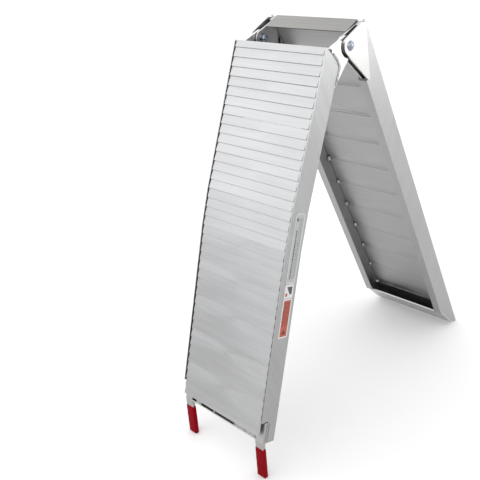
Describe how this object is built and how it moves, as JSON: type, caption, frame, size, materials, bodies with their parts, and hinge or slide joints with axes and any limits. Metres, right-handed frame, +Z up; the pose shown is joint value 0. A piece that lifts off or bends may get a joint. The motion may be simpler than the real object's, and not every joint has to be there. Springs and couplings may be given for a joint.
{
  "type": "folding loading ramp",
  "caption": "Folding aluminium loading ramp with ribbed treads, side rails, a bolted centre hinge, a bevelled foot and rubber-sleeved fingers, standing folded as an A.",
  "frame": {"origin": "middle of the footprint at floor level, halfway between the side rails", "axes": "+X along the hinge towards the side that carries the labels, +Y from the finger section to the foot section, +Z up"},
  "size_m": [0.323, 0.9456, 1.0827],
  "materials": {
    "tread": "ribbed mill finish",
    "rail": "lengthwise brushed",
    "leaf": "brushed plate",
    "bar": "mill finish bar",
    "weld": "weld bead",
    "zinc": "bright zinc plate",
    "sleeve": "dipped soft vinyl",
    "label_silver": "film label",
    "label_white": "film label",
    "label_red": "film label"
  },
  "bodies": {
    "foot_section": {"rear_rail_left": "rail", "rear_rail_right": "rail", "rear_plank_01": "tread", "rear_plank_02": "tread", "rear_plank_03": "tread", "rear_plank_04": "tread", "rear_plank_05": "tread", "rear_plank_06": "tread", "rear_plank_07": "tread", "rear_plank_08": "tread", "rear_plank_09": "tread", "rear_plank_10": "tread", "rear_plank_11": "tread", "rear_plank_12": "tread", "outer_plate_left": "leaf", "inner_plate_left": "leaf", "pivot_bolt_left": "zinc", "lock_nut_left": "zinc", "washer_left": "zinc", "outer_plate_right": "leaf", "inner_plate_right": "leaf", "pivot_bolt_right": "zinc", "lock_nut_right": "zinc", "washer_right": "zinc", "plate_welds": "weld", "rear_plank_welds": "weld", "rear_end_plate": "leaf", "foot_plate": "leaf"},
    "finger_section": {"front_rail_left": "rail", "front_rail_right": "rail", "front_plank_01": "tread", "front_plank_02": "tread", "front_plank_03": "tread", "front_plank_04": "tread", "front_plank_05": "tread", "front_plank_06": "tread", "front_plank_07": "tread", "front_plank_08": "tread", "front_plank_09": "tread", "front_plank_10": "tread", "front_end_channel": "rail", "finger_bar_left": "bar", "sleeve_left": "sleeve", "front_ear_left": "leaf", "finger_bar_right": "bar", "sleeve_right": "sleeve", "front_ear_right": "leaf", "finger_welds": "weld", "slot_welds": "weld", "front_ear_welds": "weld", "front_plank_welds": "weld", "label_silver": "label_silver", "label_picture": "label_white", "label_red": "label_red"}
  },
  "joints": [
    {"name": "fold_hinge", "type": "hinge", "parent": "foot_section", "child": "finger_section", "pos_m": [0, -0.05796, 1.03329], "axis": [-1, 0, 0], "range_deg": [-43, 133.3]}
  ]
}
